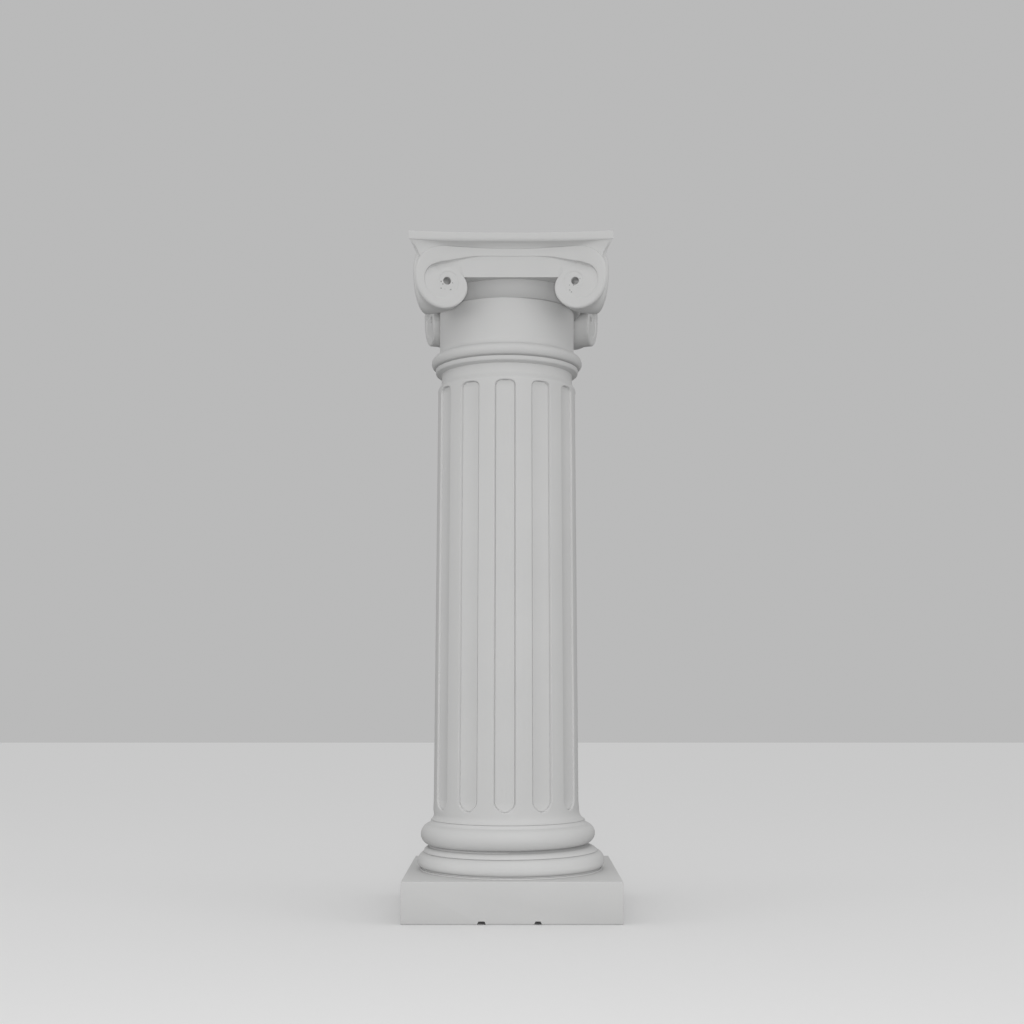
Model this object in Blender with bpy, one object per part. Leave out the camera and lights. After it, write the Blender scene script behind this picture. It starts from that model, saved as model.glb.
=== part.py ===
"""A small cast Roman column: base, fluted shaft and a capital with four corner volutes.

Metres, +Z up. The origin is the middle of the plinth's underside and the front faces -Y.
Angles are in degrees. Run with blender --background --python part.py.
"""

import bmesh
import bpy
import numpy as np

# Joints between the castings
JOINT_GAP = 0.0003

# Plinth and its two small casting notches
PLINTH_SIDE = 0.288
PLINTH_HEIGHT = 0.0557
PLINTH_EDGE = 0.0008
NOTCH_HEIGHT = 0.0045
NOTCH_DEPTH = 0.030
NOTCHES = ((-0.0395, 0.0115), (0.0336, 0.0100))

# Base mouldings: the two tori are cast a little off the plinth's middle
BASE_SEGMENTS = 48
LOWER_TORUS_OFFSET = -0.0015
UPPER_TORUS_OFFSET = -0.0057
PLINTH_FILLET_RADIUS = 0.1245
PLINTH_FILLET_HEIGHT = 0.0044
LOWER_TORUS_RADIUS = 0.1296
LOWER_TORUS_HEIGHT = 0.0218
LOWER_TORUS_FOOT = 0.0029
SCOTIA_FILLET_HEIGHT = 0.0050
SCOTIA_DEPTH = 0.0118
SCOTIA_RISE = 0.0042
SCOTIA_NECK = 0.0017
UPPER_TORUS_RADIUS = 0.1197
UPPER_TORUS_HEIGHT = 0.0270
SEAT_RADIUS = 0.1066
SEAT_FLARE = 0.0062
SEAT_RISE = 0.0080

# Shaft
SHAFT_OFFSET = -0.0078
SHAFT_BOTTOM_RADIUS = 0.1013
SHAFT_TOP_RADIUS = 0.0955
SHAFT_FOOT_FLARE = 0.0047
SHAFT_FOOT_HEIGHT = 0.0100
SHAFT_FLUTED_HEIGHT = 0.5811
PLAIN_BAND_RADIUS = 0.0905
PLAIN_BAND_HEIGHT = 0.0110
SHOULDER_HEIGHT = 0.0115

# Flutes
FLUTE_COUNT = 12
FLUTE_TURN = -1.1
FLUTE_HALF_WIDTH = 8.4
FLUTE_EDGE_WIDTH = 1.8
FLUTE_EDGE_DEPTH = 0.0025
FLUTE_MIDDLE_DEPTH = 0.0048
FLUTE_BOTTOM_MARGIN = 0.0070
FLUTE_TOP_MARGIN = 0.0050
FLUTE_BOTTOM_ROUND = 0.0115
FLUTE_TOP_ROUND = 0.0085

# Astragal and neck
ASTRAGAL_SEGMENTS = 48
CAVETTO_RADIUS = 0.0985
CAVETTO_HEIGHT = 0.0082
ASTRAGAL_RADIUS = 0.1028
ASTRAGAL_HEIGHT = 0.0166
NECK_RADIUS = 0.0930
NECK_FOOT_FLARE = 0.0050
NECK_FOOT_HEIGHT = 0.0100
NECK_HEIGHT = 0.0621

# Capital: ovolo and its top fillet
CAPITAL_OFFSET = -0.0012
OVOLO_HEIGHT = 0.0187
OVOLO_RADIUS = 0.1045
OVOLO_FILLET_RADIUS = 0.0990
OVOLO_FILLET_HEIGHT = 0.0030

# Capital: bands between the volutes
BAND_DISTANCE = 0.1118
BAND_HEIGHT = 0.0369
BAND_RIDGE_HEIGHT = ((0.0, 0.0096), (0.036, 0.0102), (0.052, 0.0121), (0.064, 0.0148), (0.075, 0.0175), (0.0860, 0.0203))
BAND_STRAIGHT = 0.0520
WING_TURN = 18.0
WING_BEND = 0.0400
CHANNEL_DEPTH = 0.0026

# Capital: volutes, as radii round the eye by angle from the top, outwards and down
EYE_DISTANCE = 0.0838
EYE_RADIUS = 0.0052
EYE_DEPTH = 0.0100
EYE_DROP = 0.0064
RIDGE_OUTER = ((0, 0.0460), (45, 0.0470), (90, 0.0425), (180, 0.0358), (270, 0.0256), (285, 0.0230),
               (360, 0.0160), (450, 0.0125), (720, 0.0052))
RIDGE_INNER = ((0, 0.0257), (30, 0.0256), (57, 0.0292), (87, 0.0311), (130, 0.0285), (202, 0.0189),
               (240, 0.0158), (280, 0.0150), (360, 0.0125), (720, 0.0052))
GROOVE_DEPTH = ((0, 0.0036), (50, 0.0042), (85, 0.0020), (120, 0.0010), (240, 0.0006), (450, 0.0004), (720, 0.0))
SPIRAL_STEPS = 12
RIM_BULGE = 0.68
RIM_START = 45.0

# Capital: abacus
ABACUS_HALF_SIDE = 0.1330
ABACUS_HOLLOW = 0.0094
ABACUS_HOLLOW_POWER = 2.6
ABACUS_HEIGHT = 0.0115
COVE_HEIGHT = 0.0062
COVE_HOLLOW = 0.0022

# Finish
PLASTER_COLOR = (0.62, 0.62, 0.615, 1.0)
PLASTER_ROUGHNESS = 0.85


def clear_scene():
    for item in list(bpy.data.objects):
        bpy.data.objects.remove(item, do_unlink=True)


def plaster(name):
    material = bpy.data.materials.new(name)
    material.use_nodes = True
    surface = material.node_tree.nodes["Principled BSDF"]
    surface.inputs["Base Color"].default_value = PLASTER_COLOR
    surface.inputs["Roughness"].default_value = PLASTER_ROUGHNESS
    surface.inputs["Metallic"].default_value = 0.0
    return material


def new_object(name, mesh_data, material):
    mesh = bpy.data.meshes.new(name)
    mesh_data.to_mesh(mesh)
    mesh_data.free()
    mesh.shade_smooth()
    mesh.set_sharp_from_angle(angle=np.radians(32))
    mesh.materials.append(material)
    item = bpy.data.objects.new(name, mesh)
    bpy.context.scene.collection.objects.link(item)
    return item


def arc(centre, radii, first, last, steps):
    """Points (r, z) on an ellipse arc: centre plus radii times cosine and sine of the angle."""
    angles = np.radians(np.linspace(first, last, steps + 1))
    return np.stack([centre[0] + radii[0] * np.cos(angles), centre[1] + radii[1] * np.sin(angles)], axis=1)


def blend(value, knots):
    """A smooth curve through a few (place, value) knots: cubic pieces with averaged slopes."""
    places, values = np.array(knots, float).T
    slopes = np.gradient(values, places)
    index = np.clip(np.searchsorted(places, value, side="right") - 1, 0, len(places) - 2)
    width = places[index + 1] - places[index]
    t = np.clip((value - places[index]) / width, 0, 1)
    start, end = values[index], values[index + 1]
    ease = t * t * (3 - 2 * t)
    lean = width * (slopes[index] * t * (1 - t) ** 2 - slopes[index + 1] * t * t * (1 - t))
    return start + (end - start) * ease + lean


def turned(profile, offsets, segments):
    """A closed turned body: rings (radius, height) from the bottom up, each on its own axis."""
    body = bmesh.new()
    angles = np.linspace(0, 2 * np.pi, segments, endpoint=False)
    rings = []
    for (radius, height), offset in zip(profile, offsets):
        rings.append([body.verts.new((offset + radius * np.sin(a), -radius * np.cos(a), height)) for a in angles])
    for lower, upper in zip(rings, rings[1:]):
        join_rings(body, lower, upper)
    body.faces.new(reversed(rings[0]))
    body.faces.new(rings[-1])
    return body


def join_rings(body, lower, upper):
    for i in range(len(lower)):
        j = (i + 1) % len(lower)
        body.faces.new((lower[i], lower[j], upper[j], upper[i]))


def cutter(name, mesh_data):
    mesh = bpy.data.meshes.new(name)
    mesh_data.to_mesh(mesh)
    mesh_data.free()
    item = bpy.data.objects.new(name, mesh)
    item.hide_render = True
    item.display_type = "WIRE"
    bpy.context.scene.collection.objects.link(item)
    return item


def boolean(item, other, operation):
    step = item.modifiers.new(other.name, "BOOLEAN")
    step.object = other
    step.operation = operation
    step.solver = "EXACT"


def box(size, middle):
    body = bmesh.new()
    bmesh.ops.create_cube(body, size=1.0)
    bmesh.ops.scale(body, vec=size, verts=body.verts)
    bmesh.ops.translate(body, vec=middle, verts=body.verts)
    return body


def base_profile():
    """The mouldings over the plinth, from the bottom up, as (radius, height) and axis offset."""
    sunk = (PLINTH_FILLET_RADIUS, PLINTH_HEIGHT - 0.01)
    lower_middle = PLINTH_HEIGHT + LOWER_TORUS_FOOT + LOWER_TORUS_HEIGHT / 2
    lower_round = LOWER_TORUS_HEIGHT / 2
    lower_axis = LOWER_TORUS_RADIUS - lower_round
    fillet_angle = -np.degrees(np.arccos((PLINTH_FILLET_RADIUS - lower_axis) / lower_round))
    lower = arc((lower_axis, lower_middle), (lower_round, lower_round), fillet_angle, 88, 7)
    scotia_start = lower[-1][1] + SCOTIA_FILLET_HEIGHT
    scotia_top = scotia_start + SCOTIA_RISE
    scotia = arc((lower[-1][0], scotia_top), (-SCOTIA_DEPTH, -SCOTIA_RISE), 90, 0, 2)
    upper_middle = scotia_top + SCOTIA_NECK + UPPER_TORUS_HEIGHT / 2
    upper_round = UPPER_TORUS_HEIGHT / 2
    upper_axis = UPPER_TORUS_RADIUS - upper_round
    upper = arc((upper_axis, upper_middle), (upper_round, upper_round), -82, 50, 7)
    seat_start = upper[-1][1] + 0.0010
    seat = arc((SEAT_RADIUS + SEAT_FLARE, seat_start + SEAT_RISE), (-SEAT_FLARE, -SEAT_RISE), 80, 0, 2)
    profile = np.concatenate([[sunk], lower, scotia, upper, seat])
    offsets = np.interp(profile[:, 1], (lower[-1][1], upper[0][1]), (LOWER_TORUS_OFFSET, UPPER_TORUS_OFFSET))
    return profile, offsets


def base_top():
    return base_profile()[0][-1][1]


def make_base(material):
    plinth_middle = (0, 0, PLINTH_HEIGHT / 2)
    plinth = new_object("base", box((PLINTH_SIDE, PLINTH_SIDE, PLINTH_HEIGHT), plinth_middle), material)
    edge = plinth.modifiers.new("cast_edge", "BEVEL")
    edge.width = PLINTH_EDGE
    edge.segments = 1
    boolean(plinth, cutter("mouldings", turned(*base_profile(), BASE_SEGMENTS)), "UNION")
    for number, (place, width) in enumerate(NOTCHES):
        height = 2 * NOTCH_HEIGHT
        depth = 2 * NOTCH_DEPTH
        notch = box((width, depth, height), (place, -PLINTH_SIDE / 2, 0))
        for vertex in notch.verts:
            if vertex.co.z > 0:
                vertex.co.x = place + (vertex.co.x - place) * 0.62
        boolean(plinth, cutter(f"notch_{number + 1}", notch), "DIFFERENCE")
    return plinth


def shaft_radius(height):
    bottom = base_top() + JOINT_GAP + SHAFT_FOOT_HEIGHT
    rise = (height - bottom) / SHAFT_FLUTED_HEIGHT
    return SHAFT_BOTTOM_RADIUS + (SHAFT_TOP_RADIUS - SHAFT_BOTTOM_RADIUS) * rise


def flute_ring(height, width_share, depth_share):
    """One ring of the fluted shaft: flute and fillet corners, with the flute as wide and deep as its share."""
    pitch = 360 / FLUTE_COUNT
    floor_edge = FLUTE_HALF_WIDTH - FLUTE_EDGE_WIDTH
    turns = np.array([-pitch / 2, -FLUTE_HALF_WIDTH, -floor_edge, -floor_edge / 2, floor_edge / 2, floor_edge, FLUTE_HALF_WIDTH])
    depths = np.array([0, 0, FLUTE_EDGE_DEPTH, FLUTE_MIDDLE_DEPTH, FLUTE_MIDDLE_DEPTH, FLUTE_EDGE_DEPTH, 0])
    turns[1:] *= width_share
    radius = shaft_radius(height) - depths * depth_share
    angles = np.radians(FLUTE_TURN + turns + pitch * np.arange(FLUTE_COUNT)[:, None]).ravel()
    radii = np.tile(radius, FLUTE_COUNT)
    return SHAFT_OFFSET + radii * np.sin(angles), -radii * np.cos(angles), np.full(angles.size, height)


def plain_ring(radius, height):
    pitch = 360 / FLUTE_COUNT
    per_flute = ASTRAGAL_SEGMENTS // FLUTE_COUNT
    steps = np.arange(ASTRAGAL_SEGMENTS) * pitch / per_flute
    angles = np.radians(FLUTE_TURN - pitch / 2 + steps)
    return SHAFT_OFFSET + radius * np.sin(angles), -radius * np.cos(angles), np.full(angles.size, height)


def join_flutes_to_plain(body, fluted, plain, upwards):
    """Faces between a ring with 7 corners a flute and a ring with 4."""
    for k in range(FLUTE_COUNT):
        low = [fluted[(7 * k + i) % len(fluted)] for i in range(8)]
        high = [plain[(4 * k + i) % len(plain)] for i in range(5)]
        faces = (
            (low[0], low[1], low[2], high[1], high[0]),
            (low[2], low[3], high[2], high[1]),
            (low[3], low[4], high[2]),
            (low[4], low[5], high[3], high[2]),
            (low[5], low[6], low[7], high[4], high[3]),
        )
        for corners in faces:
            body.faces.new(corners if upwards else tuple(reversed(corners)))


def foot_profile():
    """The shaft's foot, flaring in from the joint to the plain shaft."""
    bottom = base_top() + JOINT_GAP
    foot_radius = SHAFT_BOTTOM_RADIUS + SHAFT_FOOT_FLARE
    return arc((foot_radius, bottom + SHAFT_FOOT_HEIGHT), (-SHAFT_FOOT_FLARE, -SHAFT_FOOT_HEIGHT), 90, 0, 3)


def head_profile():
    """Shoulder, plain band, cavetto, astragal and neck, from the bottom up."""
    shoulder = foot_profile()[-1][1] + SHAFT_FLUTED_HEIGHT
    start = (shaft_radius(shoulder), shoulder)
    band_start = shoulder + SHOULDER_HEIGHT
    band_top = band_start + PLAIN_BAND_HEIGHT
    cavetto_top = band_top + CAVETTO_HEIGHT
    astragal_round = ASTRAGAL_HEIGHT / 2
    astragal_axis = ASTRAGAL_RADIUS - astragal_round
    astragal = arc((astragal_axis, cavetto_top + astragal_round), (astragal_round, astragal_round), -62, 62, 6)
    neck_top = cavetto_top + ASTRAGAL_HEIGHT + NECK_HEIGHT
    first = [
        start,
        ((start[0] + PLAIN_BAND_RADIUS) / 2, shoulder + SHOULDER_HEIGHT * 0.55),
        (PLAIN_BAND_RADIUS, band_start),
        (PLAIN_BAND_RADIUS, band_top),
        ((PLAIN_BAND_RADIUS + CAVETTO_RADIUS) / 2 + 0.0010, band_top + CAVETTO_HEIGHT * 0.45),
        (CAVETTO_RADIUS, cavetto_top - 0.0006),
        (CAVETTO_RADIUS - 0.0014, cavetto_top),
    ]
    flare_top = cavetto_top + ASTRAGAL_HEIGHT + NECK_FOOT_HEIGHT
    flare = arc((NECK_RADIUS + NECK_FOOT_FLARE, flare_top), (-NECK_FOOT_FLARE, -NECK_FOOT_HEIGHT), 78, 0, 3)
    return np.concatenate([first, astragal, flare, [(NECK_RADIUS, neck_top)]])


def shaft_top():
    return head_profile()[-1][1]


def make_shaft(material):
    body = bmesh.new()
    foot = foot_profile()
    head = head_profile()
    flute_bottom = foot[-1][1] + FLUTE_BOTTOM_MARGIN
    flute_top = head[0][1] - FLUTE_TOP_MARGIN + FLUTE_TOP_ROUND
    levels = [(flute_bottom - 0.0012, 0.42, 0.0)]
    for angle, depth in ((25, 0.6), (50, 1.0), (90, 1.0)):
        share = np.sin(np.radians(angle))
        levels.append((flute_bottom + FLUTE_BOTTOM_ROUND * (1 - np.cos(np.radians(angle))), share, depth))
    for angle, depth in ((90, 1.0), (50, 1.0), (25, 0.6)):
        share = np.sin(np.radians(angle))
        levels.append((flute_top - FLUTE_TOP_ROUND * (1 - np.cos(np.radians(angle))), share, depth))
    levels.append((flute_top + 0.0012, 0.42, 0.0))

    def add(ring):
        return [body.verts.new(corner) for corner in zip(*ring)]

    foot_rings = [add(plain_ring(*level)) for level in foot]
    fluted_rings = [add(flute_ring(*level)) for level in levels]
    head_rings = [add(plain_ring(*level)) for level in head[1:]]
    for rings in (foot_rings, fluted_rings, head_rings):
        for lower, upper in zip(rings, rings[1:]):
            join_rings(body, lower, upper)
    join_flutes_to_plain(body, fluted_rings[0], foot_rings[-1], upwards=False)
    join_flutes_to_plain(body, fluted_rings[-1], head_rings[0], upwards=True)
    body.faces.new(reversed(foot_rings[0]))
    body.faces.new(head_rings[-1])
    return new_object("shaft", body, material)


def sheet(along, out, height):
    """A place on the capital's front face: straight in the middle, then bending to the turned wing.

    along is measured from the middle along the face, out is the distance in front of it."""
    bend = np.clip((along - BAND_STRAIGHT) / WING_BEND, 0, 1)
    turn = np.radians(WING_TURN) * bend
    radius = WING_BEND / np.radians(WING_TURN)
    past = np.maximum(along - BAND_STRAIGHT - WING_BEND, 0)
    x = np.minimum(along, BAND_STRAIGHT) + radius * np.sin(turn) + past * np.cos(turn)
    y = BAND_DISTANCE + radius * (1 - np.cos(turn)) + past * np.sin(turn)
    return np.stack([x - out * np.sin(turn), -(y + out * np.cos(turn)), height + 0 * x], axis=-1)


def eye_along():
    """How far along the face the eye lies, for its distance from the capital's middle plane."""
    places = np.linspace(0, 0.12, 241)
    return float(np.interp(EYE_DISTANCE, sheet(places, 0, 0)[:, 0], places))


def spiral_point(angle, radius, out, eye_height):
    """A place on the volute's face, angle from the top outwards."""
    turn = np.radians(angle)
    return sheet(eye_along() + radius * np.sin(turn), out, eye_height + radius * np.cos(turn))


def ridge_top(along, band_top, crown):
    """The band's upper edge, which swells up to the top of the volute."""
    rise = np.clip(along / eye_along(), 0, 1)
    return band_top + (crown - band_top) * rise * rise * (3 - 2 * rise)


def make_capital(material):
    neck_top = shaft_top() + JOINT_GAP
    band_bottom = neck_top + OVOLO_HEIGHT + OVOLO_FILLET_HEIGHT
    band_top = band_bottom + BAND_HEIGHT
    eye_height = band_bottom - EYE_DROP
    crown = eye_height + blend(0.0, RIDGE_OUTER)
    cove_top = band_top + COVE_HEIGHT
    top = cove_top + ABACUS_HEIGHT
    eye = eye_along()

    # Where the disc's outline rises past the band's lower edge
    angles = np.linspace(200, 330, 400)
    heights = eye_height + blend(angles, RIDGE_OUTER) * np.cos(np.radians(angles))
    meet = float(angles[np.argmax(heights >= band_bottom)])
    meet_along = eye + blend(meet, RIDGE_OUTER) * np.sin(np.radians(meet))
    joined = np.linspace(meet, 360, 5)
    one_turn = np.concatenate([np.linspace(0, meet, SPIRAL_STEPS), joined[1:]])
    spiral_angles = np.concatenate([one_turn, one_turn[1:] + 360])

    stations = []
    wall = 0.0012
    for along in np.linspace(0, meet_along, 4)[:-1]:
        upper = ridge_top(along, band_top, crown)
        lower = upper - blend(along, BAND_RIDGE_HEIGHT)
        depth = -CHANNEL_DEPTH * (0.35 + 0.65 * along / meet_along)
        stations.append((
            sheet(along, 0, upper), sheet(along, 0, lower), sheet(along, depth, lower - wall),
            sheet(along, -CHANNEL_DEPTH, band_bottom + wall), sheet(along, -CHANNEL_DEPTH, band_bottom)))
    for angle in joined[:-1]:
        share = (angle - meet) / (360 - meet)
        along = meet_along + (eye - meet_along) * share
        upper = ridge_top(along, band_top, crown)
        lower = upper - blend(along, BAND_RIDGE_HEIGHT)
        radius = blend(angle, RIDGE_OUTER)
        depth = -CHANNEL_DEPTH - (blend(0.0, GROOVE_DEPTH) - CHANNEL_DEPTH) * share
        stations.append((
            sheet(along, 0, upper), sheet(along, 0, lower), sheet(along, depth, lower - wall),
            spiral_point(angle, radius + wall, depth, eye_height), spiral_point(angle, radius, 0, eye_height)))
    for angle in spiral_angles:
        outer = blend(angle, RIDGE_OUTER)
        inner = max(blend(min(angle + 360, 720.0), RIDGE_OUTER), EYE_RADIUS)
        ridge = max(min(blend(angle, RIDGE_INNER), outer - 0.0002), inner)
        step = min(wall, (ridge - inner) / 3)
        depth = -blend(angle, GROOVE_DEPTH)
        stations.append((
            spiral_point(angle, outer, 0, eye_height), spiral_point(angle, ridge, 0, eye_height),
            spiral_point(angle, ridge - step, depth, eye_height),
            spiral_point(angle, inner + step, depth, eye_height),
            spiral_point(angle, inner, 0, eye_height)))

    quads = []
    for first, second in zip(stations, stations[1:]):
        for i in range(4):
            quads.append((first[i], first[i + 1], second[i + 1], second[i]))

    # Eye
    for a, b in zip(one_turn, one_turn[1:]):
        rim = [spiral_point(v, EYE_RADIUS, 0, eye_height) for v in (a, b)]
        pit = [spiral_point(v, EYE_RADIUS * 0.8, -EYE_DEPTH, eye_height) for v in (a, b)]
        middle = spiral_point(0, 0.0, -EYE_DEPTH, eye_height)
        quads.append((rim[0], pit[0], pit[1], rim[1]))
        quads.append((pit[0], middle, pit[1]))

    # Rim of the scroll, from the face to the corner's diagonal
    def rim_row(point):
        """Half of a curve that leaves the face square and meets its mirror image on the diagonal."""
        turn = np.radians(WING_TURN)
        inward = np.array([np.sin(turn), np.cos(turn), 0.0])
        reach = (-point[1] - point[0]) / (inward[0] + inward[1])
        control = point + inward * reach
        mirrored = np.array([-point[1], -point[0], point[2]])
        ends = (point + mirrored) / 2
        middle = ends + (control - ends) * RIM_BULGE
        quarter = (point + control) / 2 * RIM_BULGE + (point * 0.75 + mirrored * 0.25) * (1 - RIM_BULGE)
        return [point, quarter, middle]

    rim_angles = [a for a in one_turn if RIM_START <= a <= meet]
    rim_rows = [rim_row(spiral_point(a, blend(a, RIDGE_OUTER), 0, eye_height)) for a in rim_angles]
    for first, second in zip(rim_rows, rim_rows[1:]):
        for i in range(2):
            quads.append((first[i], second[i], second[i + 1], first[i + 1]))

    # Cove and abacus over the ridge and the corner
    top_edge = [s[0] for s in stations[:7]]
    top_edge += [spiral_point(a, blend(a, RIDGE_OUTER), 0, eye_height) for a in one_turn if a < RIM_START]
    top_edge += rim_rows[0]
    share = np.linspace(0, 1, len(top_edge))
    reach = np.array([p[0] for p in top_edge]) / top_edge[-1][0]
    side = reach * ABACUS_HALF_SIDE
    front = ABACUS_HALF_SIDE - ABACUS_HOLLOW * (1 - reach ** ABACUS_HOLLOW_POWER)
    rows = [top_edge]
    for t in (1 / 3, 2 / 3):
        hollow = COVE_HOLLOW * 4 * t * (1 - t)
        row = []
        for p, x, y in zip(top_edge, side, front):
            end = np.array([x, -y, cove_top])
            row.append(p + (end - p) * np.array([t, t, t]) + np.array([0, hollow, hollow * 0.3]))
        corner = row[-1]
        row[-1] = np.array([(corner[0] - corner[1]) / 2, (corner[1] - corner[0]) / 2, corner[2]])
        rows.append(row)
    rows.append([np.array([x, -y, cove_top]) for x, y in zip(side, front)])
    rows.append([np.array([x, -y, top]) for x, y in zip(side, front)])
    for first, second in zip(rows, rows[1:]):
        for i in range(len(first) - 1):
            quads.append((first[i], first[i + 1], second[i + 1], second[i]))
    for i in range(len(rows[-1]) - 1):
        quads.append((rows[-1][i], rows[-1][i + 1], np.array([0, 0, top])))

    # Underside, ovolo and seat
    under = [s[4] for s in stations[:3]] + rim_rows[-1]
    azimuths = [np.arctan2(p[0], -p[1]) for p in under]
    ovolo = arc((NECK_RADIUS, neck_top + OVOLO_HEIGHT), (OVOLO_RADIUS - NECK_RADIUS, -OVOLO_HEIGHT), 0, 90, 4)
    profile = [(OVOLO_FILLET_RADIUS, band_bottom), (OVOLO_FILLET_RADIUS, neck_top + OVOLO_HEIGHT)]
    profile += [tuple(p) for p in ovolo]
    previous = under
    for radius, height in profile:
        row = [np.array([radius * np.sin(a), -radius * np.cos(a), height]) for a in azimuths]
        for i in range(len(row) - 1):
            quads.append((previous[i + 1], previous[i], row[i], row[i + 1]))
        previous = row
    for i in range(len(previous) - 1):
        quads.append((previous[i + 1], previous[i], np.array([0, 0, neck_top])))

    body = bmesh.new()
    for quarter in range(4):
        turn = np.radians(90 * quarter)
        spin = np.array([[np.cos(turn), -np.sin(turn), 0], [np.sin(turn), np.cos(turn), 0], [0, 0, 1]])
        for mirror in (1, -1):
            for quad in quads:
                points = [spin @ (np.array(p) * (mirror, 1, 1)) + (CAPITAL_OFFSET, 0, 0) for p in quad]
                if mirror < 0:
                    points.reverse()
                body.faces.new([body.verts.new(p) for p in points])
    bmesh.ops.remove_doubles(body, verts=body.verts, dist=2e-5)
    bmesh.ops.dissolve_degenerate(body, dist=1e-6, edges=body.edges)
    bmesh.ops.recalc_face_normals(body, faces=body.faces)
    return new_object("capital", body, material)


clear_scene()
cast = plaster("cast_plaster")
make_base(cast)
make_shaft(cast)
make_capital(cast)
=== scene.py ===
"""The finish of a small cast Roman column: base, fluted shaft and volute capital in pale grey plaster."""

import bmesh
import bpy
import numpy as np
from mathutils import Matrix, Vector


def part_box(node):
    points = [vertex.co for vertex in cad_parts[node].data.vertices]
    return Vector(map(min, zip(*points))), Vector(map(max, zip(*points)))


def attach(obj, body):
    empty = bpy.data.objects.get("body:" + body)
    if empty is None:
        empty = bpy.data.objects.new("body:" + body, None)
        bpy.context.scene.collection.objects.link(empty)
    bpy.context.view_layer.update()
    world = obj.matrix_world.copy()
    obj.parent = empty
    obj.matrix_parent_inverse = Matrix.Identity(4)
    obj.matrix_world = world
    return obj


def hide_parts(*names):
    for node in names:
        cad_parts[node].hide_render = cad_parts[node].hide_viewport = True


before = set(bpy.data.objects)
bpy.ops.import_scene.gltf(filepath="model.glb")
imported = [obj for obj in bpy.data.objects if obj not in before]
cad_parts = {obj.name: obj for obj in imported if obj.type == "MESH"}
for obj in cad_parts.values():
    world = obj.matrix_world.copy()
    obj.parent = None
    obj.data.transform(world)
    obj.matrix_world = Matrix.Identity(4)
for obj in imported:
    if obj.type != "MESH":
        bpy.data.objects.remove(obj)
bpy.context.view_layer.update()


# Base
# One plaster casting: a square plinth with two small blind notches in its front foot, and over it two
# tori with a rounded slope between them. The mould sat a few millimetres off the plinth's middle.
plinth_side = 0.288
plinth_height = 0.0557
plinth_edge = 0.0009
notch_depth = 0.030
notch_height = 0.0045
notch_top_share = 0.44
base_sharp_angle = 30
lower_torus_axis_x = -0.0015
upper_torus_axis_x = -0.0057
lower_torus_middle = (0.1187, 0.0672)
upper_torus_middle = (0.1055, 0.1050)

# Middle and width of each notch, along X
notches = ((-0.0395, 0.0172), (0.0336, 0.0148))


def arc(middle, radii, first, last, steps):
    """Points (r, z) on an ellipse: middle plus radii times the cosine and sine of angles in degrees."""
    angles = np.radians(np.linspace(first, last, steps))
    return np.stack([middle[0] + radii[0] * np.cos(angles), middle[1] + radii[1] * np.sin(angles)], axis=1)


def groove(radius, height, width):
    """A fine line cut at a crease: three points, the middle one as deep as the line is wide."""
    return np.array([(radius, height), (radius - width, height + width / 2), (radius, height + width)])


def rings(profile, axis_x, angles):
    """Turned surface: x = axis_x + r sin(a) and y = -r cos(a), for each (r, z) of the profile and angle a."""
    radius = profile[:, :1]
    x = np.reshape(axis_x, (-1, 1)) + radius * np.sin(angles)
    y = -radius * np.cos(angles)
    return np.stack([x, y, np.broadcast_to(profile[:, 1:], x.shape)], axis=-1)


def grid_faces(rows, columns, closed):
    """Corner numbers of the quads of a grid whose points run row by row. Where closed is true, the last
    column is joined to the first."""
    across = np.arange(columns if closed else columns - 1)
    start = np.arange(rows - 1)[:, None] * columns
    right = (across + 1) % columns
    above = start + columns
    return np.stack([start + across, start + right, above + right, above + across], -1).reshape(-1, 4)


def closed_mesh(name, points):
    """A closed body from a grid of rings, bottom ring first, with a fan of triangles over each end."""
    count, segments = points.shape[:2]
    vertices = np.concatenate([points.reshape(-1, 3), [points[0].mean(0)], [points[-1].mean(0)]])
    quads = grid_faces(count, segments, closed=True).tolist()
    ring = np.arange(segments)
    after = (ring + 1) % segments
    low_end = np.stack([after, ring, np.full(segments, count * segments)], -1).tolist()
    top = (count - 1) * segments
    high_end = np.stack([top + ring, top + after, np.full(segments, count * segments + 1)], -1).tolist()
    mesh = bpy.data.meshes.new(name)
    mesh.from_pydata(vertices.tolist(), [], quads + low_end + high_end)
    return mesh


def shade(mesh, sharp_angle):
    """Makes a mesh look smooth but for edges sharper than sharp_angle degrees."""
    mesh.shade_smooth()
    mesh.set_sharp_from_angle(angle=np.radians(sharp_angle))


def add_piece(name, mesh, sharp_angle):
    """Shades a mesh and puts it in the scene as a piece."""
    shade(mesh, sharp_angle)
    piece = bpy.data.objects.new(name, mesh)
    bpy.context.scene.collection.objects.link(piece)
    return piece


def settle(piece):
    """Applies the piece's modifiers to its mesh, and drops the helpers that they used."""
    graph = bpy.context.evaluated_depsgraph_get()
    finished = bpy.data.meshes.new_from_object(piece.evaluated_get(graph))
    helpers = [step.object for step in piece.modifiers if step.type == "BOOLEAN"]
    piece.modifiers.clear()
    piece.data = finished
    for helper in helpers:
        bpy.data.objects.remove(helper, do_unlink=True)


def cut_or_join(piece, name, mesh, operation):
    """Gives the piece a boolean modifier that cuts or joins the mesh."""
    helper = bpy.data.objects.new(name, mesh)
    bpy.context.scene.collection.objects.link(helper)
    step = piece.modifiers.new(name, "BOOLEAN")
    step.object = helper
    step.operation = operation
    step.solver = "EXACT"


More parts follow.
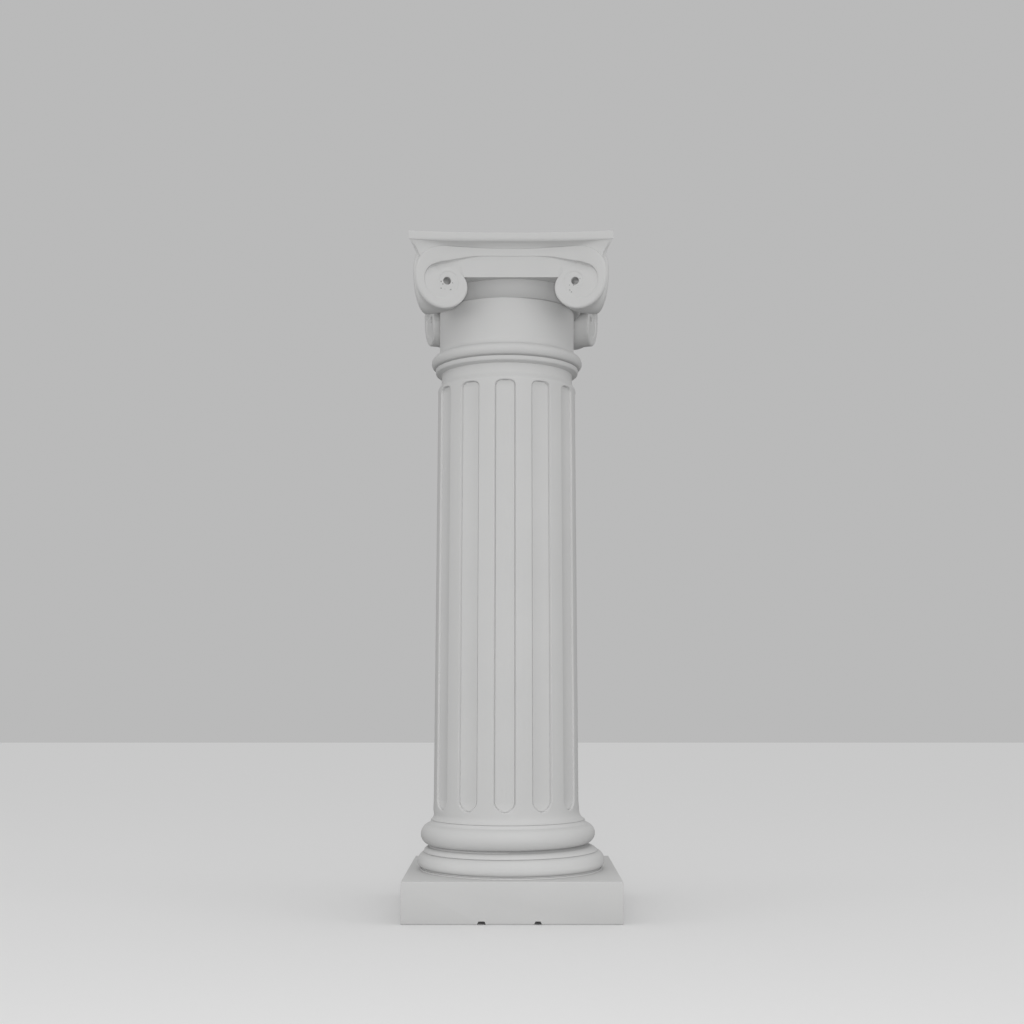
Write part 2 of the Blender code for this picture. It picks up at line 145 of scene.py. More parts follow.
def block(name, low, high, top_share=1.0):
    """A box between two corners, its top narrowed to top_share of its width along X."""
    body = bmesh.new()
    bmesh.ops.create_cube(body, size=1.0)
    middle = (np.array(low) + high) / 2
    size = np.array(high) - low
    for vertex in body.verts:
        share = top_share if vertex.co.z > 0 else 1.0
        vertex.co = middle + size * vertex.co * (share, 1, 1)
    mesh = bpy.data.meshes.new(name)
    body.to_mesh(mesh)
    body.free()
    return mesh


def add_node(tree, kind, inputs=None, **settings):
    """A shader node with its settings. Each input, by name or number, gets a value or a link to a socket."""
    node = tree.nodes.new(kind)
    for setting, value in settings.items():
        setattr(node, setting, value)
    for socket, value in (inputs or {}).items():
        if isinstance(value, bpy.types.NodeSocket):
            tree.links.new(value, node.inputs[socket])
        else:
            node.inputs[socket].default_value = value
    return node


def maths(tree, operation, *inputs):
    """The result of a maths node on numbers or sockets."""
    return add_node(tree, "ShaderNodeMath", dict(enumerate(inputs)), operation=operation).outputs[0]


def vector_maths(tree, operation, *inputs):
    """The outputs of a vector maths node on triples or sockets."""
    return add_node(tree, "ShaderNodeVectorMath", dict(enumerate(inputs)), operation=operation).outputs


def fade(tree, value, zero_at, one_at):
    """0 to 1 as the value goes from zero_at to one_at, and no further."""
    limits = {"Value": value, "From Min": zero_at, "From Max": one_at}
    return add_node(tree, "ShaderNodeMapRange", limits).outputs[0]


def colour_mix(tree, share, first, second):
    """The first colour where share is 0, and the second where it is 1."""
    inputs = {"Factor": share, "A": first, "B": second}
    return add_node(tree, "ShaderNodeMix", inputs, data_type="RGBA").outputs["Result"]


def new_group(name, inputs, outputs):
    """An empty node group, with number sockets of these names."""
    group = bpy.data.node_groups.new(name, "ShaderNodeTree")
    for socket in inputs:
        group.interface.new_socket(socket, in_out="INPUT", socket_type="NodeSocketFloat")
    for socket in outputs:
        group.interface.new_socket(socket, in_out="OUTPUT", socket_type="NodeSocketFloat")
    return group


def casting_grain():
    """Group: fine sand grain less sparse pin holes as a height, and a cloudy tone with painted shade in the
    holes, from Object coordinates. Pin Holes is the share of Voronoi cells that hold one."""
    group = new_group("casting grain", ("Grain Size", "Pin Holes"), ("Tone", "Height"))
    given = add_node(group, "NodeGroupInput").outputs
    place = add_node(group, "ShaderNodeTexCoord").outputs["Object"]
    scale = maths(group, "DIVIDE", 1.0, given["Grain Size"])
    grain = add_node(group, "ShaderNodeTexNoise", {"Vector": place, "Scale": scale, "Detail": 4.0})
    cloud = add_node(group, "ShaderNodeTexNoise", {"Vector": place, "Scale": 9.0, "Detail": 5.0})
    cells = add_node(group, "ShaderNodeTexVoronoi", {"Vector": place, "Scale": 95.0})
    hole = fade(group, cells.outputs["Distance"], 0.09, 0.03)
    chosen = maths(group, "LESS_THAN", cells.outputs["Color"], given["Pin Holes"])
    holes = maths(group, "MULTIPLY", hole, chosen)
    height = maths(group, "SUBTRACT", grain.outputs["Fac"], holes)
    # Painted shade: the tone is made darker inside the pin holes
    tone = maths(group, "MULTIPLY_ADD", holes, -0.45, cloud.outputs["Fac"])
    add_node(group, "NodeGroupOutput", {"Tone": tone, "Height": height})
    return group


def painted_crevice_shade():
    """Group for painted shade in creases: how deep in a crevice a point lies, from 0 in the open to 1, by the
    share of the sky within Reach that is hidden from it."""
    group = new_group("painted crevice shade", ("Reach",), ("Crevice Shade",))
    reach = add_node(group, "NodeGroupInput").outputs["Reach"]
    sky = add_node(group, "ShaderNodeAmbientOcclusion", {"Distance": reach}, samples=8).outputs["AO"]
    add_node(group, "NodeGroupOutput", {"Crevice Shade": fade(group, sky, 0.58, 0.08)})
    return group


grain_group = casting_grain()
crevice_shade_group = painted_crevice_shade()


def cast_plaster(name, grain_size, pin_holes, marks=()):
    """Pale grey plaster: a soft uneven tone, fine grain and pin holes, painted shade in its creases and
    holes, and for each (group, grey) of marks that grey wherever the group gives 1."""
    material = bpy.data.materials.new(name)
    material.use_nodes = True
    tree = material.node_tree
    surface = tree.nodes["Principled BSDF"]
    surface.inputs["Specular IOR Level"].default_value = 0.12
    surface.inputs["Roughness"].default_value = 0.9
    grain_values = {"Grain Size": grain_size, "Pin Holes": pin_holes}
    grain = add_node(tree, "ShaderNodeGroup", grain_values, node_tree=grain_group)
    crevice_darkening = add_node(tree, "ShaderNodeGroup", {"Reach": 0.012}, node_tree=crevice_shade_group)
    colour = colour_mix(tree, grain.outputs["Tone"], (0.600, 0.600, 0.597, 1.0), (0.660, 0.660, 0.655, 1.0))
    # Painted shade: the colour darkens towards a grey in creases, by how much of the nearby sky they hide
    colour = colour_mix(tree, crevice_darkening.outputs["Crevice Shade"], colour, (0.43, 0.43, 0.428, 1.0))
    for mark_group, grey in marks:
        mark = add_node(tree, "ShaderNodeGroup", node_tree=mark_group)
        colour = colour_mix(tree, mark.outputs[0], colour, (grey, grey, grey * 0.995, 1.0))
    tree.links.new(colour, surface.inputs["Base Color"])
    bump_values = {"Strength": 0.12, "Distance": 0.0006, "Height": grain.outputs["Height"]}
    bump = add_node(tree, "ShaderNodeBump", bump_values)
    tree.links.new(bump.outputs["Normal"], surface.inputs["Normal"])
    return material


base_plaster = cast_plaster("base plaster", grain_size=0.0022, pin_holes=0.05)
base_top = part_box("base")[1][2]
mouldings = np.concatenate([
    [(0.1262, plinth_height - 0.010), (0.1262, 0.0571), (0.1238, 0.0573)],
    arc(lower_torus_middle, (0.0110, 0.0100), -62, -5, 14),
    arc(lower_torus_middle, (0.0110, 0.0133), 0, 76, 24),
    groove(0.1210, 0.0802, 0.0009),
    arc((0.1070, 0.0792), (0.0139, 0.0090), 13, 76, 16),
    arc(upper_torus_middle, (0.0155, 0.0149), -82, 74, 50),
    arc((0.1112, base_top), (-0.0041, -0.0050), 66, 0, 9),
])
mouldings_axis = np.interp(mouldings[:, 1], (0.0803, 0.0900), (lower_torus_axis_x, upper_torus_axis_x))

# The mouldings between the tori slope up a little to the right: the rise at each height, per metre along X
mouldings_rise = np.interp(mouldings[:, 1], (0.066, 0.078, 0.105, 0.120), (0.0, 0.008, 0.008, 0.0))
turned_angles = np.linspace(0, 2 * np.pi, 240, endpoint=False)

plinth_half = plinth_side / 2
base_mesh = block("base", (-plinth_half, -plinth_half, 0), (plinth_half, plinth_half, plinth_height))
base = add_piece("base_casting", base_mesh, base_sharp_angle)
cast_edge = base.modifiers.new("cast edge", "BEVEL")
cast_edge.width = plinth_edge
cast_edge.segments = 3
for notch_x, notch_width in notches:
    low = (notch_x - notch_width / 2, -plinth_half - 0.01, -notch_height)
    high = (notch_x + notch_width / 2, -plinth_half + notch_depth, notch_height)
    cut_or_join(base, "notch", block("notch", low, high, notch_top_share), "DIFFERENCE")
mouldings_points = rings(mouldings, mouldings_axis, turned_angles)
mouldings_points[..., 2] += mouldings_rise[:, None] * mouldings_points[..., 0]
cut_or_join(base, "mouldings", closed_mesh("mouldings", mouldings_points), "UNION")
settle(base)
shade(base.data, base_sharp_angle)
base.data.materials.clear()
base.data.materials.append(base_plaster)
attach(base, "root")
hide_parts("base")


# Shaft
# One tapered plaster casting from its flared foot to the neck, with twelve shallow round-ended flutes
# pressed by the mould, a soft shoulder and plain band over them, and an astragal under the neck.
shaft_foot_axis_x = -0.0080
shaft_head_axis_x = -0.0071
shaft_foot_radius = 0.1013
shaft_head_radius = 0.0955
plain_band_radius = 0.0905
neck_radius = 0.0930
shoulder_low = 0.7174
shoulder_high = 0.7280
flute_count = 12
flute_turn = -1.0
flute_half_width = 8.5
flute_wall = (0.91, 1.04)
flute_wall_depth = 0.0019
flute_hollow = 0.0027
flute_line = 0.0013
flute_low = 0.1399
flute_low_round = 0.0140
flute_low_power = 1.65
flute_high = 0.7162
flute_high_round = 0.0085
flute_high_power = 2.7
shaft_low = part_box("shaft")[0][2]
shaft_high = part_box("shaft")[1][2]


def smooth_step(value, first, last):
    """0 before first, 1 after last, and 3t^2 - 2t^3 between them."""
    t = np.clip((value - first) / np.maximum(last - first, 1e-9), 0, 1)
    return t * t * (3 - 2 * t)


def flute_depth(turn, height):
    """Depth of the nearest flute, by its distance t from the flute's middle line, 1 at its outline: a soft
    wall between flute_wall's two values of t, and a floor hollowed by 1 - t^2. Past each end's centre t is
    the p-th root of the sum of the p-th powers across and along, with a low p below for a pointed end and a
    high one above for a flatter end. A fine line sinks at the wall's foot, by flute_line times e to the
    minus ((t - 0.93) / 0.03)^2."""
    across = turn / flute_half_width
    below = np.maximum(flute_low + flute_low_round - height, 0) / flute_low_round
    above = np.maximum(height - flute_high + flute_high_round, 0) / flute_high_round
    power = np.where(height < (flute_low + flute_high) / 2, flute_low_power, flute_high_power)
    t = (np.abs(across) ** power + below ** power + above ** power) ** (1 / power)
    wall = 1 - smooth_step(t, *flute_wall)
    line = np.exp(-((t - 0.93) / 0.03) ** 2)
    return flute_wall_depth * wall + flute_hollow * np.maximum(1 - t * t, 0) + flute_line * line


shoulder_heights = np.linspace(shoulder_low, shoulder_high, 11)
shoulder_fall = smooth_step(shoulder_heights, shoulder_low, shoulder_high)
shoulder_radii = shaft_head_radius - (shaft_head_radius - plain_band_radius) * shoulder_fall
head = np.concatenate([
    np.stack([shoulder_radii, shoulder_heights], axis=1),
    [(plain_band_radius, 0.7340), (plain_band_radius, 0.7386), (0.0908, 0.7391)],
    [(0.0970, 0.7409), (0.0982, 0.7417), (0.0987, 0.7434)],
    groove(0.0989, 0.7470, 0.0018),
    arc((0.0950, 0.7560), (0.0093, 0.0088), -50, 62, 26),
    arc((0.0985, 0.7732), (-0.0055, -0.0094), 76, 0, 9),
    [(neck_radius, 0.790), (neck_radius, shaft_high)],
])
foot = np.concatenate([
    [(0.1062, shaft_low)],
    arc((0.1108, shaft_low + 0.0100), (-0.0095, -0.0110), 65, 0, 10),
])
fluted_heights = np.concatenate([
    np.arange(0.1375, 0.1550, 0.0005),
    np.linspace(0.1565, 0.7040, 10),
    np.arange(0.7060, 0.7172, 0.0005),
])
taper = np.interp(fluted_heights, (foot[-1, 1], shoulder_low), (shaft_foot_radius, shaft_head_radius))
shaft_profile = np.concatenate([foot, np.stack([taper, fluted_heights], axis=1), head])

# Places across one flute and half of each land beside it, in degrees, closest together at the flute's wall
half_share = 180 / flute_count
half_flute = np.concatenate([
    np.linspace(0, 4.8, 5)[:-1],
    np.linspace(4.8, 7.4, 7)[:-1],
    np.linspace(7.4, 9.0, 9)[:-1],
    np.linspace(9.0, half_share, 5)[:-1],
])
one_flute = np.concatenate([-half_flute[:0:-1], half_flute, [half_share]])
flute_middles = flute_turn + 2 * half_share * np.arange(flute_count)
shaft_turns = (flute_middles[:, None] + one_flute).ravel()
shaft_axis = np.interp(shaft_profile[:, 1], (shaft_low, shaft_low + 0.012, shaft_high),
                       (upper_torus_axis_x, shaft_foot_axis_x, shaft_head_axis_x))
shaft_points = rings(shaft_profile, shaft_axis, np.radians(shaft_turns))
cut = flute_depth(np.tile(one_flute, flute_count), shaft_profile[:, 1:])
shaft_points[..., 0] -= cut * np.sin(np.radians(shaft_turns))
shaft_points[..., 1] += cut * np.cos(np.radians(shaft_turns))
shaft = add_piece("shaft_casting", closed_mesh("shaft", shaft_points), sharp_angle=40)
shaft.data.materials.append(cast_plaster("shaft plaster", grain_size=0.0022, pin_holes=0.04))
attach(shaft, "root")
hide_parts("shaft")


# Capital
# One plaster casting: an ovolo over the neck, four bands that end in pairs of volutes turned out to the
# corners, and an abacus with hollowed sides. All four sides come from one mould and are alike in shape.
capital_axis_x = -0.0012
capital_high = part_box("capital")[1][2]
ovolo_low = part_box("shaft")[1][2]
band_low = 0.8469
band_middle_high = 0.8838
band_distance = 0.1118
channel_depth = 0.0026
band_straight = 0.0520
wing_bend = 0.0400
wing_turn = np.radians(18.0)
eye_height = 0.8405
eye_x = 0.0838
eye_radius = 0.0052
eye_depth = 0.0130
disc_step = 0.0003
rim_start = 50.0
rim_bulge = 0.86
ovolo_radius = 0.1005
ovolo_round = 0.0150
ovolo_end = 58
abacus_half = 0.1330
abacus_hollow = 0.0094
abacus_low = 0.8900

# Knots by the angle round the eye, in degrees from the top: the spiral's outer edge and the foot of its
# ridge as distances from the eye, the drop at that foot, and the rounding of the outer edge
spiral_outer = (
    (0, 0.0460), (50, 0.0470), (90, 0.0427), (180, 0.0358), (270, 0.0256), (285, 0.0230),
    (360, 0.0160), (450, 0.0125), (720, 0.0052),
)
spiral_ridge = (
    (0, 0.0266), (30, 0.0268), (57, 0.0298), (87, 0.0311), (130, 0.0285), (202, 0.0189),
    (240, 0.0158), (280, 0.0150), (360, 0.0125), (720, 0.0052),
)
groove_step = (
    (0, 0.0052), (35, 0.0062), (60, 0.0044), (85, 0.0018), (110, 0.0008), (150, 0.0006),
    (240, 0.0005), (360, 0.0004), (720, 0.0001),
)
face_round = (
    (0, 0.0010), (30, 0.0014), (60, 0.0036), (110, 0.0050), (150, 0.0035), (200, 0.0024),
    (270, 0.0018), (300, 0.0005), (360, 0.0003), (450, 0.0002), (720, 0.0001),
)

# Knots by the distance along the band from its middle: the height of the foot of the ridge
band_groove = (
    (0.0, 0.8742), (0.036, 0.8744), (0.052, 0.8738), (0.064, 0.8719), (0.075, 0.8696), (0.086, 0.8670),
)


def through(knots, value):
    """A smooth curve through (place, value) knots: cubic pieces that share the average slope at each knot."""
    places, values = np.array(knots, float).T
    slopes = np.gradient(values, places)
    before = np.clip(np.searchsorted(places, value, side="right") - 1, 0, len(places) - 2)
    after = before + 1
    width = places[after] - places[before]
    t = np.clip((value - places[before]) / width, 0, 1)
    lean = width * (slopes[before] * t * (1 - t) ** 2 - slopes[after] * t * t * (1 - t))
    return values[before] + (values[after] - values[before]) * t * t * (3 - 2 * t) + lean


def on_face(along, out, height):
    """A place on the front face, which is straight up to band_straight along it, turns by wing_turn over an
    arc of length wing_bend, and is straight again. Out is a distance off the face."""
    bend = np.clip((along - band_straight) / wing_bend, 0, 1)
    turn = wing_turn * bend
    radius = wing_bend / wing_turn
    past = np.maximum(along - band_straight - wing_bend, 0)
    x = np.minimum(along, band_straight) + radius * np.sin(turn) + past * np.cos(turn)
    y = band_distance + radius * (1 - np.cos(turn)) + past * np.sin(turn)
    return np.stack(np.broadcast_arrays(x - out * np.sin(turn), -(y + out * np.cos(turn)), height), axis=-1)


def under_band_shade(middle_x, radius, high):
    """Group: 1 within radius of the capital's upright axis and below high, fading to 0 over 1.5 mm outside
    it, in Object coordinates."""
    group = new_group("under band shade", (), ("Shade",))
    place = add_node(group, "ShaderNodeTexCoord").outputs["Object"]
    off_axis = vector_maths(group, "SUBTRACT", place, (middle_x, 0, 0))["Vector"]
    flat = vector_maths(group, "MULTIPLY", off_axis, (1, 1, 0))["Vector"]
    distance = vector_maths(group, "LENGTH", flat)["Value"]
    near = fade(group, distance, radius + 0.0015, radius)
    height = add_node(group, "ShaderNodeSeparateXYZ", {0: place}).outputs["Z"]
    below = maths(group, "LESS_THAN", height, high)
    add_node(group, "NodeGroupOutput", {"Shade": maths(group, "MULTIPLY", near, below)})
    return group


def eye_pit_shade(middle_x, pits_middle, pits_reach):
    """Group: 1 in small spots under the eyes of the front and the back, where a dark grey is painted as the
    shade
    inside small pits, in Object coordinates: some of the Voronoi cells within pits_reach of pits_middle and
    of its mirror places."""
    group = new_group("eye pit shade", (), ("Pit Shade",))
    place = add_node(group, "ShaderNodeTexCoord").outputs["Object"]
    off_axis = vector_maths(group, "SUBTRACT", place, (middle_x, 0, 0))["Vector"]
    folded = vector_maths(group, "ABSOLUTE", off_axis)["Vector"]
    away = vector_maths(group, "DISTANCE", folded, pits_middle)["Value"]
    near = maths(group, "LESS_THAN", away, pits_reach)
    cells = add_node(group, "ShaderNodeTexVoronoi", {"Vector": place, "Scale": 270.0})
    chosen = maths(group, "LESS_THAN", cells.outputs["Color"], 0.42)
    pit = fade(group, cells.outputs["Distance"], 0.30, 0.20)
    kept = maths(group, "MULTIPLY", near, chosen)
    add_node(group, "NodeGroupOutput", {"Pit Shade": maths(group, "MULTIPLY", kept, pit)})
    return group


# The capital's marks: painted shade on the ovolo under the bands, and painted shade of small pits under the
# eyes
capital_marks = [
    (under_band_shade(capital_axis_x, ovolo_radius + 0.0001, band_low), 0.525),
    (eye_pit_shade(capital_axis_x, pits_middle=(0.0845, 0.1205, 0.8335), pits_reach=0.0115), 0.30),
]
capital_plaster = cast_plaster("capital plaster", grain_size=0.0020, pin_holes=0.06, marks=capital_marks)
face_probe = np.linspace(0, 0.12, 2401)
eye_along = float(np.interp(eye_x, on_face(face_probe, 0, 0)[:, 0], face_probe))


def round_eye(angle, radius):
    """(along, height) at an angle in degrees from the top, turning outwards, and a distance from the eye."""
    turn = np.radians(angle)
    return np.stack([eye_along + radius * np.sin(turn), eye_height + radius * np.cos(turn)], axis=-1)


def ridge_top(along):
    """Height of the band's upper edge, which swells from the middle to the crown of the volute."""
    crown = eye_height + through(spiral_outer, 0.0)
    return band_middle_high + (crown - band_middle_high) * smooth_step(along, 0.010, eye_along - 0.004)


# Where the spiral's outer edge, on its way up, meets the band's lower edge
turn_probe = np.linspace(200, 330, 5201)
edge_heights = round_eye(turn_probe, through(spiral_outer, turn_probe))[:, 1]
meet = float(turn_probe[np.argmax(edge_heights >= band_low)])
meet_along = float(round_eye(meet, through(spiral_outer, meet))[0])

# Path of the strip, from the band's middle over the crown and twice round the eye: its outer and inner edges
first_turn = np.concatenate([
    np.linspace(0, rim_start, 12)[:-1],
    np.linspace(rim_start, meet, 60),
    np.linspace(meet, 360, 24)[1:],
])
joined = first_turn[first_turn >= meet]
turn_angles = np.concatenate([first_turn, first_turn[1:] + 360])
band_along = np.concatenate([np.linspace(0, meet_along - 0.0008, 22), [meet_along - 0.0002]])
share = (joined[:-1] - meet) / (360 - meet)
joined_along = meet_along + (eye_along - meet_along) * share
outer_radius = through(spiral_outer, turn_angles)
inner_radius = np.maximum(through(spiral_outer, np.minimum(turn_angles + 360, 720)), eye_radius)
outer_edge = np.concatenate([
    np.stack([band_along, ridge_top(band_along)], axis=1),
    np.stack([joined_along, ridge_top(joined_along)], axis=1),
    round_eye(turn_angles, outer_radius),
])
inner_edge = np.concatenate([
    np.stack([band_along, np.full(band_along.size, band_low)], axis=1),
    round_eye(joined[:-1], through(spiral_outer, joined[:-1])),
    round_eye(turn_angles, inner_radius),
])
band_count = band_along.size
joined_count = joined.size - 1
level_along = np.concatenate([band_along, joined_along])
to_crown = level_along / eye_along
ridge_width = np.concatenate([
    ridge_top(level_along) - through(band_groove, level_along),
    outer_radius - through(spiral_ridge, turn_angles),
])
step_depth = np.concatenate([
    0.0012 + (through(groove_step, 0.0) - 0.0012) * smooth_step(to_crown, 0.30, 1.0),
    through(groove_step, turn_angles),
])
floor_depth = np.concatenate([
    np.full(band_count, channel_depth),
    channel_depth + (disc_step - channel_depth) * smooth_step(joined[:-1], meet, meet + 22),
    np.interp(turn_angles, (0, 360), (disc_step, 0.0)),
])
strip_width = np.maximum(np.linalg.norm(outer_edge - inner_edge, axis=1), 1e-7)
edge_round = np.minimum(strip_width / 4, np.concatenate([
    np.full(band_count + joined_count, through(face_round, 0.0)),
    through(face_round, turn_angles),
]))

# Height of the strip's inner rim: it meets the rounded outer edge of the turn inside it
turn_round = edge_round[band_count + joined_count:]
rim_height = np.concatenate([
    np.full(band_count, -channel_depth),
    -turn_round[first_turn.size - joined.size:first_turn.size - 1],
    -turn_round[first_turn.size - 1:-1],
    np.zeros(first_turn.size),
])


def strip_surface():
    """Ridge, groove and floor across the strip, by w, the distance in from the outer edge. The height over
    the face is a quarter round at the edge, then 0, a soft step down to -step_depth at ridge_width, a floor
    that runs evenly to -floor_depth, and a soft step up to the inner rim."""
    width = strip_width[:, None]
    rounding = edge_round[:, None]
    ridge = np.minimum(np.maximum(ridge_width[:, None], rounding * 1.2), width * 0.98)
    soft = np.minimum(0.0008 + 0.18 * step_depth[:, None], (width - ridge) * 0.45)
    rim = np.minimum(0.0012, (width - ridge - soft) * 0.45)
    quarter = np.radians(np.linspace(0, 90, 6))
    places = [rounding * (1 - np.cos(quarter))]
    places.append(rounding + (ridge - rounding) * np.linspace(0, 1, 6)[1:])
    places.append(ridge + soft * np.linspace(0, 1, 6)[1:])
    places.append(ridge + soft + (width - ridge - soft - rim) * np.linspace(0, 1, 6)[1:])
    places.append(width - rim + rim * np.linspace(0, 1, 5)[1:])
    w = np.concatenate(places, axis=1)
    step = step_depth[:, None] * smooth_step(w, ridge - soft * 0.3, ridge + soft)
    spread = np.clip((w - ridge - soft) / np.maximum(width - ridge - soft - rim, 1e-6), 0, 1)
    floor = (floor_depth - step_depth)[:, None] * spread
    rise = (rim_height + floor_depth)[:, None] * smooth_step(w, width - rim, width)
    edge = rounding - np.sqrt(np.maximum(rounding ** 2 - np.maximum(rounding - w, 0) ** 2, 0))
    height = -edge - step - floor + rise
    place = outer_edge[:, None] + (inner_edge - outer_edge)[:, None] * (w / width)[..., None]
    return on_face(place[..., 0], height, place[..., 1])


# The strip runs out to one point, on the eye's rim
strip = strip_surface()
strip[-1] = strip[band_count + joined_count + first_turn.size - 1, -1]
rim_columns = band_count + joined_count + np.flatnonzero((first_turn >= rim_start) & (first_turn <= meet))


def rim_surface():
    """The scroll's side, from the face's edge to the corner's diagonal: half of a cubic Bezier curve that
    leaves both faces square, its handles rim_bulge of the way to the crossing of the two face normals."""
    start = strip[rim_columns, 0][:, None]
    inward = np.array([np.sin(wing_turn), np.cos(wing_turn), 0.0])
    distance = (-start[..., 1] - start[..., 0]) / (inward[0] + inward[1])
    control = start + inward * distance[..., None]
    mirrored = np.stack([-start[..., 1], -start[..., 0], start[..., 2]], axis=-1)
    t = (0.5 * np.linspace(0, 1, 14))[None, :, None]
    first = start + (control - start) * rim_bulge
    second = mirrored + (control - mirrored) * rim_bulge
    near_half = start * (1 - t) ** 3 + 3 * first * t * (1 - t) ** 2
    return near_half + 3 * second * t ** 2 * (1 - t) + mirrored * t ** 3


rim = rim_surface()
head_edge = np.concatenate([strip[:rim_columns[0], 0], rim[0]])
reach = head_edge[:, 0] / head_edge[-1, 0]
fascia_x = abacus_half * reach
fascia_y = -(abacus_half - abacus_hollow * (1 - reach ** 2.6))
fascia_foot = np.stack([fascia_x, fascia_y, np.full(reach.size, abacus_low)], axis=-1)


def abacus_surface():
    """Cove, fascia and top in rows. The cove leans from the ridge to the fascia and sags by 4t(1 - t). The
    fascia is drawn in by quarter rounds at its foot and its top, and the top shrinks to the middle."""
    open_side = 1 - reach ** 4
    foot_round = 0.0012 + 0.0036 * open_side
    top_round = 0.0007
    t = np.linspace(0, 1, 9)[1:-1][:, None]
    upright = np.array([0.0, 0.0, 1.0])
    inset = fascia_foot * ((1 - foot_round / abacus_half)[:, None] * (1 - upright) + upright)
    sag = 0.0014 * 4 * t * (1 - t) * np.ones(reach.size)
    cove = head_edge + (inset - head_edge) * t[..., None]
    cove *= np.stack([1 - sag / abacus_half, 1 - sag / abacus_half, np.ones_like(sag)], axis=-1)
    rows = [head_edge[None], cove]
    for angle in np.radians(np.linspace(0, 90, 6)):
        shrink = (1 - foot_round * (1 - np.sin(angle)) / abacus_half)[:, None]
        lift = (foot_round * (1 - np.cos(angle)))[:, None]
        rows.append((fascia_foot * (shrink * (1 - upright) + upright) + lift * upright)[None])
    for angle in np.radians(np.linspace(0, 90, 4)):
        shrink = 1 - top_round * (1 - np.cos(angle)) / abacus_half
        row = fascia_foot * (shrink, shrink, 0)
        row[:, 2] = capital_high - top_round * (1 - np.sin(angle))
        rows.append(row[None])
    for shrink in (0.85, 0.6, 0.3, 0.0):
        row = fascia_foot * (shrink, shrink, 0)
        row[:, 2] = capital_high
        rows.append(row[None])
    return np.concatenate(rows)


abacus = abacus_surface()
under_edge = np.concatenate([strip[:band_count, -1], strip[band_count:band_count + 1, -1], rim[-1]])


def ovolo_surface():
    """Underside, ovolo and seat in rows: each keeps the azimuths of the underside's outer edge, at radii that
    step in along a flat, then down an ellipse quarter to the neck, then to the middle of the seat."""
    azimuth = np.arctan2(under_edge[:, 0], -under_edge[:, 1])
    ovolo_high = band_low - 0.0012
    drop = (ovolo_low - ovolo_high) / np.sin(np.radians(ovolo_end))
    profile = np.concatenate([
        [(0.1040, band_low), (0.1010, band_low), (ovolo_radius, ovolo_high)],
        arc((ovolo_radius - ovolo_round, ovolo_high), (ovolo_round, drop), 0, ovolo_end, 20),
        [(0.0890, ovolo_low), (0.0450, ovolo_low), (0.0, ovolo_low)],
    ])
    radius, height = profile.T[..., None]
    x = radius * np.sin(azimuth)
    lower = np.stack([x, -radius * np.cos(azimuth), np.broadcast_to(height, x.shape)], axis=-1)
    half_way = (under_edge + lower[0]) / 2
    return np.concatenate([under_edge[None], half_way[None], lower])


ovolo = ovolo_surface()
eye_columns = band_count + joined_count + first_turn.size - 1 + np.arange(first_turn.size)
eye_rim = strip[eye_columns, -1]


def eye_surface():
    """The eye: a round hole with a slightly narrowed, rounded floor."""
    rows = [eye_rim]
    for radius_share, depth_share in ((0.97, 0.06), (0.93, 0.5), (0.85, 0.85), (0.6, 1.0), (0.0, 1.0)):
        place = round_eye(first_turn, eye_radius * radius_share)
        rows.append(on_face(place[:, 0], -eye_depth * depth_share, place[:, 1]))
    return np.stack(rows)


# Half of one side, which is then mirrored and turned to all four
vertices = []
faces = []
offset = 0
for patch in (strip, rim, abacus, ovolo, eye_surface()):
    vertices.append(patch.reshape(-1, 3))
    faces.append(grid_faces(patch.shape[0], patch.shape[1], closed=False) + offset)
    offset += patch.shape[0] * patch.shape[1]
vertices = np.concatenate(vertices)
faces = np.concatenate(faces)
copies = []
copy_faces = []
for quarter in range(4):
    turn = np.radians(90 * quarter)
    spin = np.array([[np.cos(turn), np.sin(turn), 0], [-np.sin(turn), np.cos(turn), 0], [0, 0, 1]])
    for mirror in (1, -1):
        copy_faces.append(faces + len(copies) * len(vertices))
        copies.append((vertices * (mirror, 1, 1)) @ spin + (capital_axis_x, 0, 0))
capital_mesh = bpy.data.meshes.new("capital")
capital_mesh.from_pydata(np.concatenate(copies).tolist(), [], np.concatenate(copy_faces).tolist())

# The patches are merged along their edges, and the mirrored ones are turned to face outwards
body = bmesh.new()
body.from_mesh(capital_mesh)
bmesh.ops.remove_doubles(body, verts=body.verts, dist=3e-6)
bmesh.ops.dissolve_degenerate(body, dist=1e-7, edges=body.edges)
bmesh.ops.recalc_face_normals(body, faces=body.faces)
body.to_mesh(capital_mesh)
body.free()
capital = add_piece("capital_casting", capital_mesh, sharp_angle=35)
capital.data.materials.append(capital_plaster)
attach(capital, "root")
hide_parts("capital")


# Floor and light
# A plain pale floor and soft studio light: an even surround, a round lamp by the camera and a larger,
# weaker one at each side.
floor_half = 6.0
floor_corners = [(x * floor_half, y * floor_half, 0.0) for x, y in ((-1, -1), (1, -1), (1, 1), (-1, 1))]
floor_mesh = bpy.data.meshes.new("floor")
floor_mesh.from_pydata(floor_corners, [], [(0, 1, 2, 3)])
floor = bpy.data.objects.new("floor", floor_mesh)
bpy.context.scene.collection.objects.link(floor)


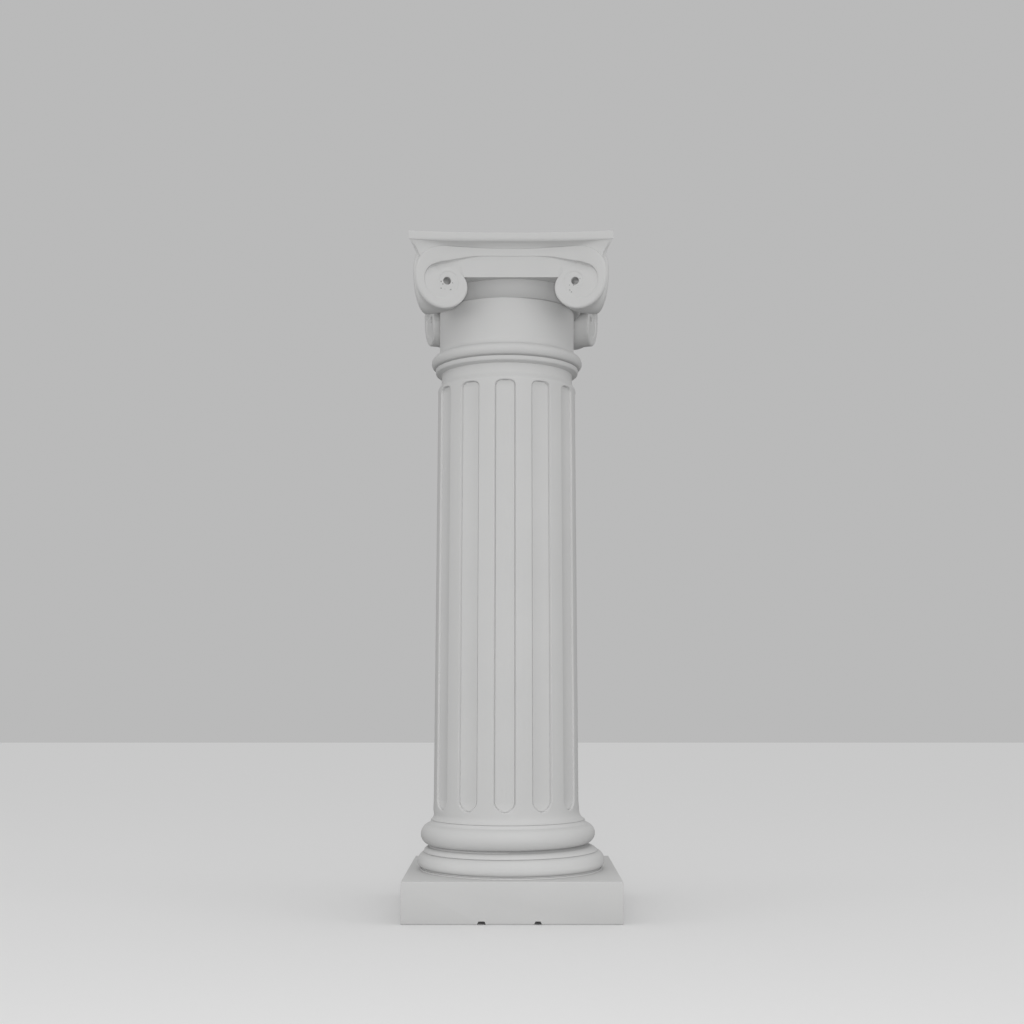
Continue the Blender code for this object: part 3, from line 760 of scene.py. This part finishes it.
def plain_paint(name, seen, given):
    """Matt paint that the camera sees as one pale tone, and that throws back a darker one."""
    material = bpy.data.materials.new(name)
    material.use_nodes = True
    tree = material.node_tree
    surface = tree.nodes["Principled BSDF"]
    surface.inputs["Roughness"].default_value = 1.0
    surface.inputs["Specular IOR Level"].default_value = 0.0
    path = add_node(tree, "ShaderNodeLightPath")
    tone = colour_mix(
        tree, path.outputs["Is Camera Ray"], (given, given, given, 1.0), (seen, seen, seen, 1.0))
    tree.links.new(tone, surface.inputs["Base Color"])
    return material


floor.data.materials.append(plain_paint("floor paint", seen=0.88, given=0.26))
world = bpy.data.worlds.new("surround")
world.use_nodes = True
surround_seen = (0.49, 0.49, 0.49, 1.0)
surround_given = (0.66, 0.66, 0.66, 1.0)
surround_path = add_node(world.node_tree, "ShaderNodeLightPath")
surround = world.node_tree.nodes["Background"]
surround_tone = colour_mix(
    world.node_tree, surround_path.outputs["Is Camera Ray"], surround_given, surround_seen)
world.node_tree.links.new(surround_tone, surround.inputs["Color"])
bpy.context.scene.world = world

# Place, width in metres and power in watts of each lamp
lamps = (
    ((0.0, -2.20, 0.30), 0.30, 15.8),
    ((-2.0, -0.75, 0.70), 1.0, 3.2),
    ((2.0, -0.75, 0.70), 1.0, 3.2),
)
for lamp_place, lamp_width, lamp_power in lamps:
    lamp_data = bpy.data.lights.new("soft lamp", "AREA")
    lamp_data.shape = "DISK"
    lamp_data.size = lamp_width
    lamp_data.energy = lamp_power
    lamp = bpy.data.objects.new("soft lamp", lamp_data)
    lamp.location = lamp_place
    lamp.rotation_euler = (np.radians(90), 0, np.arctan2(lamp_place[0], -lamp_place[1]))
    bpy.context.scene.collection.objects.link(lamp)


# Camera
# Level, a little above a third of the column's height, with the frame raised to hold the capital.
camera_data = bpy.data.cameras.new("camera")
camera_data.lens = 50.0
camera_data.sensor_width = 36.0
camera_data.shift_y = 0.172
camera = bpy.data.objects.new("camera", camera_data)
camera.location = (0.0, -1.9814, 0.3060)
camera.rotation_euler = (np.radians(90), 0, 0)
bpy.context.scene.collection.objects.link(camera)
bpy.context.scene.camera = camera
bpy.context.scene.view_settings.view_transform = "Standard"
